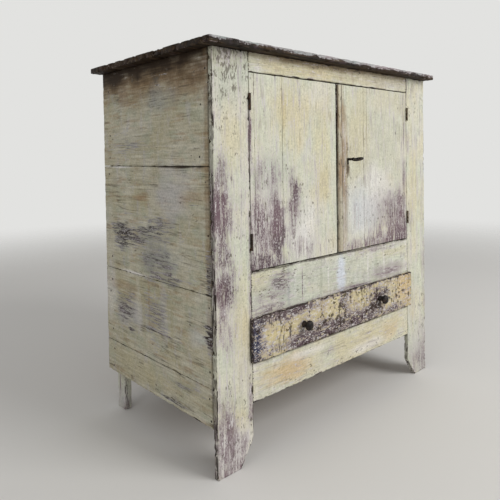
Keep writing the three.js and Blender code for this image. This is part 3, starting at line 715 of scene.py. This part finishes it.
# each point's distance from an arris, its nearness, a number for the board, and a group of the arrises
def markArrises(piece, low, high, extraPlanes, reach):
    group = piece.vertex_groups.new(name="arrises")
    distances = []
    for vertex in piece.data.vertices:
        place = vertex.co
        away = [place[axis] - low[axis] for axis in range(3)]
        away += [high[axis] - place[axis] for axis in range(3)]
        away += [max(0, (point - place).dot(normal)) for point, normal in extraPlanes]
        distances.append(sorted(away)[1])
    nearness = [max(0, 1 - away / boardLook["edgeReach"]) for away in distances]
    plank = (low + high).dot(boardLook["plankKey"])
    for name, values in dict(rim=distances, edge=nearness, plank=[plank] * len(distances)).items():
        mark = piece.data.attributes.new(name, "FLOAT", "POINT")
        mark.data.foreach_set("value", values)
    group.add([index for index, away in enumerate(distances) if away < reach], 1, "REPLACE")


# a board has the shown material on its face and edges, and the hidden one, if any, behind
def makeBoard(low, high, facing, changes, shown, hidden=None, tapers=()):
    look, layout = {**boardLook, **changes}, facings[facing]
    across, up, through = ("xyz".index(axis) for axis in layout["axes"])
    out, size, centre = Vector(layout["out"]), high - low, (low + high) / 2
    centre[through] = (high if out[through] > 0 else low)[through]
    onlySelect()
    bpy.ops.mesh.primitive_grid_add(
        x_subdivisions=max(2, round(size[across] / look["cell"])),
        y_subdivisions=max(2, round(size[up] / look["cell"])),
        size=1,
        location=centre,
        rotation=[radians(angle) for angle in layout["turn"]],
    )
    board = bpy.context.object
    board.scale = (size[across], size[up], 1)
    applyPlace(board)
    for point, normal in tapers:
        editMesh(board)
        bpy.ops.mesh.bisect(plane_co=point, plane_no=normal, clear_outer=True)
        backToObject()
    applyModifier(board, "SOLIDIFY", thickness=size[through], offset=-1)
    bevel = dict(width=look["arris"], segments=look["arrisSteps"], limit_method="ANGLE")
    applyModifier(board, "BEVEL", **bevel, angle_limit=radians(look["arrisAngle"]))
    markArrises(board, low, high, tapers, look["arris"] * look["chippedTimes"])
    for texture, depth, group in ((handWork, look["waviness"], ""), (knocks, look["chips"], "arrises")):
        applyModifier(board, "DISPLACE", texture=texture, mid_level=0, strength=-depth, vertex_group=group)
    board.data.materials.append(shown)
    if hidden:
        board.data.materials.append(hidden)
        for polygon in board.data.polygons:
            polygon.material_index = int(polygon.normal.dot(out) < look["bareFacing"])
    return board


towardsFront = (90, 0, 0)
mergeDistance = 0.00001
roundSides = 24


# a round form drawn out from a disc, step by step, along +Z and then turned and placed
def turned(profile, place, turn=(0, 0, 0), rounds=roundSides):
    onlySelect()
    (start, radius), *steps = profile
    settings = dict(vertices=rounds, radius=radius, fill_type="NGON")
    bpy.ops.mesh.primitive_circle_add(**settings, location=(0, 0, start))
    form = bpy.context.object
    applyPlace(form)
    editMesh(form)
    for along, wide in steps:
        bpy.ops.mesh.extrude_region_move(TRANSFORM_OT_translate={"value": (0, 0, along - start)})
        share = wide / radius
        bpy.ops.transform.resize(value=(share, share, 1), center_override=(0, 0, along))
        start, radius = along, wide
    bpy.ops.mesh.select_all(action="SELECT")
    bpy.ops.mesh.remove_doubles(threshold=mergeDistance)
    bpy.ops.mesh.normals_make_consistent(inside=False)
    backToObject()
    form.location = place
    form.rotation_euler = [radians(angle) for angle in turn]
    applyPlace(form)
    return form


def blockBetween(low, high, arris=0):
    onlySelect()
    low, high = Vector(low), Vector(high)
    bpy.ops.mesh.primitive_cube_add(size=1, location=(low + high) / 2)
    form = bpy.context.object
    form.scale = high - low
    applyPlace(form)
    if arris:
        applyModifier(form, "BEVEL", width=arris, segments=boardLook["arrisSteps"])
    return form


def joined(*forms):
    onlySelect(*forms)
    bpy.ops.object.join()
    return bpy.context.object


# the case: the face frame, sides, top, back and posts
stileLook = dict(chips=0.004, taperHeight=0.066, footWidth=0.076)
railLook = dict(chips=0.0012, arris=0.0006)


# the plane that cuts a foot's inner edge, by a point on it and the way out
def footTaper(side):
    low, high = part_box(side + "_stile")
    rise = stileLook["taperHeight"]
    inner, way = (high.x, 1) if side == "left" else (low.x, -1)
    out = Vector((way * rise, 0, stileLook["footWidth"] + low.x - high.x))
    return Vector((inner, low.y, rise)), out.normalized()


for side in sides:
    name = side + "_stile"
    stile = makeBoard(*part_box(name), "front", stileLook, stilePaint, uprightWood, [footTaper(side)])
    settleBoard(stile, name, "carcass", "cream_paint")

for name in ("top_rail", "middle_rail", "bottom_rail"):
    low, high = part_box(name)
    low.x, high.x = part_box("left_stile")[1].x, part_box("right_stile")[0].x
    board = makeBoard(low, high, "front", railLook, railPaint, crossWood)
    settleBoard(board, name, "carcass", "cream_paint")

sideLook = {"arris": 0.0008}
postLook = {"paintedHeight": 0.156}
for side in sides:
    for course in courses:
        name = f"{side}_side_board_{course}"
        board = makeBoard(*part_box(name), side, sideLook, sidePaint, deepWood)
        settleBoard(board, name, "carcass", "side_paint")
    name = side + "_back_post"
    post = makeBoard(*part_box(name), side, postLook, postPaint)
    post.data.materials.append(uprightWood)
    for polygon in post.data.polygons:
        polygon.material_index = int(polygon.center.z > postLook["paintedHeight"])
    settleBoard(post, name, "carcass", "cream_paint")

topLook = dict(arris=0.003, chips=0.006, cell=0.008)
for place in ("front", "middle", "back"):
    name = "top_plank_" + place
    settleBoard(makeBoard(*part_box(name), "up", topLook, topPaint), name, "carcass", "top_paint")

backLook = dict(cell=0.012, arris=0.0022, chips=0.0004, lap=0.0014)
for course in courses:
    name = f"back_board_{course}"
    low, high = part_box(name)
    low.x, high.x = low.x - backLook["lap"], high.x + backLook["lap"]
    settleBoard(makeBoard(low, high, "back", backLook, uprightWood), name, "carcass", "bare_wood")
print("the case is planked")


# the doors: three boards each, and the rounded bead on the right one's meeting edge
doorLook = dict(arris=0.0004, chips=0.0006, cell=0.005)
doorPaints = dict(left=leftDoorPaint, right=rightDoorPaint)
keyholeLook = dict(radius=0.0048, slotWidth=0.0068, drop=0.0165, beyond=0.01)
keyLow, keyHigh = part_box("key")
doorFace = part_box("right_door_meeting_board")[0].y
keyAxis = Vector(next(joint["pos_m"] for joint in frame["joints"] if joint["name"] == "key_turn"))
keyAxis.y = 0


# the keyhole's bore and slot walls take the soot-dark wood, painted shade inside the hole over grimy wood
def cutKeyhole(board):
    low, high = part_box("right_door_meeting_board")
    look = keyholeLook
    front, behind = low.y - look["beyond"], high.y + look["beyond"]
    bore = turned([(-front, look["radius"]), (-behind, look["radius"])], keyAxis, towardsFront)
    combine(board, bore, sootAndShadeWood)
    half = look["slotWidth"] / 2
    slotLow = (keyAxis.x - half, front, keyAxis.z - look["drop"])
    slotHigh = (keyAxis.x + half, behind, keyAxis.z)
    combine(board, blockBetween(slotLow, slotHigh), sootAndShadeWood)


for side in sides:
    for part in ("hinge_strip", "outer_board", "meeting_board"):
        name = f"{side}_door_{part}"
        board = makeBoard(*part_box(name), "front", doorLook, doorPaints[side], uprightWood)
        if name == "right_door_meeting_board":
            cutKeyhole(board)
        settleBoard(board, name, side + "_door", "door_paint")

beadLook = dict(sides=32, rings=80, waviness=0.0008)
low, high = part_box("astragal")
onlySelect()
place = ((low.x + high.x) / 2, high.y, (low.z + high.z) / 2)
bpy.ops.mesh.primitive_cylinder_add(vertices=beadLook["sides"], radius=0.5, depth=1, location=place)
bead = bpy.context.object
bead.scale = (high.x - low.x, 2 * (high.y - low.y), high.z - low.z)
applyPlace(bead)
editMesh(bead)
bpy.ops.mesh.bisect(plane_co=high, plane_no=(0, 1, 0), clear_outer=True, use_fill=True)
bpy.ops.mesh.select_mode(type="EDGE")
bpy.ops.mesh.select_all(action="DESELECT")
backToObject()
for edge in bead.data.edges:
    first, second = (bead.data.vertices[index].co for index in edge.vertices)
    edge.select = abs(first.z - second.z) > (high.z - low.z) / 2
bpy.ops.object.mode_set(mode="EDIT")
bpy.ops.mesh.subdivide(number_cuts=beadLook["rings"])
bpy.ops.mesh.select_mode(type="VERT")
backToObject()
applyModifier(bead, "DISPLACE", texture=handWork, mid_level=0, strength=-beadLook["waviness"])
settle(bead, "rounded_bead", ["astragal"], "right_door", "door_paint", beadPaint)
print("the doors are hung")


# the drawer front: a lip over a thicker inner board, holed for the knobs' spigots
drawerLook = dict(arris=0.0022, chips=0.0035, cell=0.004, room=0.0003, overlap=0.004, rise=0.006)
boreLook = dict(radius=0.0053, length=0.1)
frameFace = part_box("left_stile")[0].y
low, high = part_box("drawer_front")
lipHigh = Vector((high.x, frameFace - drawerLook["room"], high.z))
lip = makeBoard(low, lipHigh, "front", drawerLook, drawerPaint, crossWood)
sideLow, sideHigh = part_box("drawer_left_side")[0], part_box("drawer_right_side")[1]
innerLow = (sideLow.x, frameFace - drawerLook["overlap"], sideLow.z)
innerHigh = (sideHigh.x, high.y, sideHigh.z + drawerLook["rise"])
combine(lip, blockBetween(innerLow, innerHigh), crossWood, "UNION")

# the knobs, from the spigot's end to the crown: (distance from the drawer's face, radius) in metres
knobLook = dict(
    sides=40,
    profile=[
        (-0.021, 0.0046), (-0.0205, 0.005), (0.0002, 0.005), (0.0003, 0.0098), (0.0014, 0.01),
        (0.0028, 0.0094), (0.005, 0.0078), (0.008, 0.0067), (0.0115, 0.0064), (0.0138, 0.0072),
        (0.0148, 0.0095), (0.0156, 0.0122), (0.017, 0.0138), (0.0192, 0.0145), (0.0218, 0.0143),
        (0.0244, 0.0131), (0.0266, 0.0107), (0.0281, 0.0074), (0.0288, 0.004), (0.029, 0.0012),
    ],
)
for side in sides:
    name = side + "_drawer_knob"
    knobLow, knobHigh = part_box(name)
    place = (knobLow + knobHigh) / 2
    place.y = frameFace + boreLook["length"] / 2
    ends = [(0, boreLook["radius"]), (boreLook["length"], boreLook["radius"])]
    combine(lip, turned(ends, place, towardsFront), crossWood)
    place.y = low.y
    knob = turned(knobLook["profile"], place, towardsFront, knobLook["sides"])
    settle(knob, "turned_" + name, [name], "drawer", "dark_iron", knobIron)
settleBoard(lip, "drawer_front", "drawer", "drawer_paint")
print("the drawer is in")


# the hinges: the door leaf has the middle knuckle, the frame leaf the outer ones and the pin
hingeLook = dict(
    pinDepth=0.004, knuckleRadius=0.0028, pinRadius=0.0016, pinShort=0.0002,
    plate=(0.00075, 0.00225),  # its two faces, from the pin's middle
    plateStart=0.0043, webEnd=0.0058, gap=0.0003, knuckles=3, soften=0.0005, arris=0.0003,
)


def makeLeaf(name, ownKnuckles, withPin, inward):
    look, (low, high) = hingeLook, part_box(name)
    frameLow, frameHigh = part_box(name.replace("door_leaf", "frame_leaf"))
    foot, head = frameLow.z, frameHigh.z
    pin = Vector(((low.x + high.x) / 2, frameLow.y + look["pinDepth"], 0))
    left, right = sorted(pin.x + inward * reach for reach in look["plate"])
    plateStart, webEnd = pin.y + look["plateStart"], pin.y + look["webEnd"]
    forms = [blockBetween((left, plateStart, foot), (right, high.y, head), look["arris"])]
    height, radius, soften = (head - foot) / look["knuckles"], look["knuckleRadius"], look["soften"]
    mouth = radius - soften
    for turn in ownKnuckles:
        start = foot + turn * height + look["gap"] / 2
        end = start + height - look["gap"]
        profile = [(start, mouth), (start + soften, radius), (end - soften, radius), (end, mouth)]
        forms.append(turned(profile, pin))
        forms.append(blockBetween((left, pin.y, start), (right, webEnd, end), look["arris"]))
    if withPin:
        short, radius = look["pinShort"], look["pinRadius"]
        forms.append(turned([(foot + short, radius), (head - short, radius)], pin))
    return joined(*forms)


for side, towardsDoor, metal in (("left", 1, hingeIron), ("right", -1, paintedIron)):
    for level in ("lower", "upper"):
        for part, body, own, way in (("frame", "carcass", (0, 2), -1), ("door", side + "_door", (1,), 1)):
            name = f"{side}_{level}_hinge_{part}_leaf"
            leaf = makeLeaf(name, own, part == "frame", way * towardsDoor)
            settle(leaf, "forged_" + name, [name], body, "dark_iron", metal)


# the key: an oval bow that lies level, a collared shank and a block bit
keyLook = dict(
    bowWidth=0.034, bowLength=0.032, bowBar=0.006, bowTilt=-14, bowSides=48, barSides=16,
    shank=0.0032, tipShare=0.8, tipLength=0.0008, stem=0.004, stemFoot=(0.0006, 0.0016),
    stemShare=0.9, collar=0.0056, collarLength=0.005, collarShare=0.86, collarStep=0.0006,
    collarRound=0.001,
    bit=(0.0077, 0.0147),  # from the shank's end
    bitHalf=0.00125, bitArris=0.0003,
)
look = keyLook
bowMiddle = keyLow.y + look["bowLength"] / 2
onlySelect()
bpy.ops.mesh.primitive_torus_add(
    major_segments=look["bowSides"],
    minor_segments=look["barSides"],
    major_radius=(look["bowWidth"] - look["bowBar"]) / 2,
    minor_radius=look["bowBar"] / 2,
    location=(keyAxis.x, bowMiddle, keyAxis.z),
)
bow = bpy.context.object
bow.scale.y = look["bowLength"] / look["bowWidth"]
bow.rotation_euler.y = radians(look["bowTilt"])
applyPlace(bow)
collarStart = bowMiddle + look["bowLength"] / 2
collarEnd = collarStart + look["collarLength"]
thin, stem, thick = look["shank"], look["stem"], look["collar"]
stemLow, stemHigh = look["stemFoot"]
shankProfile = [
    (-keyHigh.y, thin * look["tipShare"]),
    (-keyHigh.y + look["tipLength"], thin),
    (-doorFace + stemLow, thin),
    (-doorFace + stemHigh, stem),
    (-collarEnd - look["collarStep"], stem),
    (-collarEnd, thick * look["collarShare"]),
    (-collarEnd + look["collarRound"], thick),
    (-collarStart - look["collarRound"], thick),
    (-collarStart, thick * look["collarShare"]),
    (-collarStart + look["collarStep"], stem),
    (-collarStart + look["bowBar"], stem * look["stemShare"]),
]
shank = turned(shankProfile, keyAxis, towardsFront)
bitNear, bitFar = look["bit"]
bitLow = (keyAxis.x, keyHigh.y - bitFar, keyAxis.z - look["bitHalf"])
bitHigh = (keyHigh.x, keyHigh.y - bitNear, keyAxis.z + look["bitHalf"])
key = joined(bow, shank, blockBetween(bitLow, bitHigh, look["bitArris"]))
settle(key, "iron_key", ["key"], "key", "dark_iron", knobIron)
print("hinges and key are fitted")


# nails along the ends of the side boards, from the back top corner across and down, in millimetres
nailLook = dict(
    sides=10,
    sunk=0.0006,
    profile=[(-0.002, 0.003), (0, 0.0033), (0.0003, 0.003), (0.0005, 0.0016)],
    front=[52, 140, 272, 336, 470, 560, 652, 735, 815, 884, 940],
    frontAcross=[540, 520, 512, 536, 542, 538, 541, 546, 540, 537, 542],
    back=[60, 200, 270, 322, 455, 585, 660, 700, 820, 884, 940],
    backAcross=[36, 42, 38, 30, 44, 40, 37, 24, 36, 42, 34],
)
nails = []
top = faces["side"]["corner"][2]
for side, turn in (("left", (0, -90, 0)), ("right", (0, 90, 0))):
    low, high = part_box(side + "_side_board_2")
    face = low.x + nailLook["sunk"] if side == "left" else high.x - nailLook["sunk"]
    for end in ("front", "back"):
        for across, down in zip(nailLook[end + "Across"], nailLook[end]):
            place = (face, high.y - across / perMetre, top - down / perMetre)
            nails.append(turned(nailLook["profile"], place, turn, nailLook["sides"]))
settle(joined(*nails), "side_nails", [], "carcass", "dark_iron", hingeIron)
print("nails are in")


# what stays as the CAD has it gets its wood or iron
keptNodes = {
    crossWood: ["shelf", "cupboard_floor", "drawer_back", "drawer_bottom"],
    deepWood: [],
    lockIron: ["lock_case", "lock_bolt", "lock_keeper"],
}
for side in sides:
    keptNodes[crossWood] += [f"{side}_door_lower_batten", f"{side}_door_upper_batten"]
    keptNodes[deepWood] += [f"{side}_{part}" for part in ("floor_cleat", "shelf_cleat", "drawer_runner")]
    keptNodes[deepWood].append(f"drawer_{side}_side")
for material, names in keptNodes.items():
    for name in names:
        mesh = frame["nodes"][name].data
        mesh.materials.clear()
        mesh.materials.append(material)


# camera, light, floor and the pale room
cameraLook = dict(
    place=(-1.2934, -1.2752, 0.8067), yaw=42.41, pitch=1.38, roll=-0.89, lens=37.72, sensor=36,
    rise=-0.16,
)
camera = bpy.data.objects.new("camera", bpy.data.cameras.new("camera"))
bpy.context.scene.collection.objects.link(camera)
camera.data.sensor_width = cameraLook["sensor"]
camera.data.lens = cameraLook["lens"]
camera.data.shift_y = cameraLook["rise"]
camera.matrix_world = (
    Matrix.Translation(cameraLook["place"])
    @ Matrix.Rotation(radians(-cameraLook["yaw"]), 4, "Z")
    @ Matrix.Rotation(radians(90 - cameraLook["pitch"]), 4, "X")
    @ Matrix.Rotation(radians(cameraLook["roll"]), 4, "Z")
)
bpy.context.scene.camera = camera

lampLook = dict(
    key=dict(place=(1.6, -4.2, 3.0), aim=(0, -0.2, 0.5), size=2.6, power=147),
    left=dict(place=(-4.5, -1.2, 2.6), aim=(0, 0, 0.5), size=2.4, power=24),
)
for name, look in lampLook.items():
    lamp = bpy.data.objects.new(name + "_lamp", bpy.data.lights.new(name + "_lamp", "AREA"))
    bpy.context.scene.collection.objects.link(lamp)
    lamp.data.size = look["size"]
    lamp.data.energy = look["power"]
    lamp.location = look["place"]
    aim = Vector(look["aim"]) - Vector(look["place"])
    lamp.rotation_euler = aim.to_track_quat("-Z", "Y").to_euler()
    lamp.visible_camera = False

roomLook = dict(light=(0.46, 0.46, 0.46, 1), seen=tone(226, 226, 224))
world = bpy.data.worlds.new("pale room")
bpy.context.scene.world = world
world.use_nodes = True
tree = world.node_tree
tree.nodes.clear()
path = node(tree, "ShaderNodeLightPath").outputs
seen = calc(tree, "MAXIMUM", path["Is Camera Ray"], path["Is Glossy Ray"])
colour = blendColour(tree, seen, roomLook["light"], roomLook["seen"])
background = node(tree, "ShaderNodeBackground", {"Color": colour, "Strength": 1})
node(tree, "ShaderNodeOutputWorld", {"Surface": background.outputs[0]})

floorLook = dict(size=14, colour=tone(222, 220, 216), roughness=0.9, fade=(2.2, 5.5))
onlySelect()
bpy.ops.mesh.primitive_plane_add(size=floorLook["size"], location=(0, 0, 0))
floor = bpy.context.object
floor.name = "studio_floor"
material, tree, position = startMaterial("studio_floor")
inputs = {"Base Color": floorLook["colour"], "Roughness": floorLook["roughness"]}
shader = node(tree, "ShaderNodeBsdfPrincipled", inputs)
clear = node(tree, "ShaderNodeBsdfTransparent")
away = smooth(tree, vectorCalc(tree, "LENGTH", position), *floorLook["fade"])
mixed = node(tree, "ShaderNodeMixShader", {0: away, 1: shader.outputs[0], 2: clear.outputs[0]})
node(tree, "ShaderNodeOutputMaterial", {"Surface": mixed.outputs[0]})
floor.data.materials.append(material)

bpy.context.scene.view_settings.view_transform = "Standard"
print("camera, lamps and floor are set")
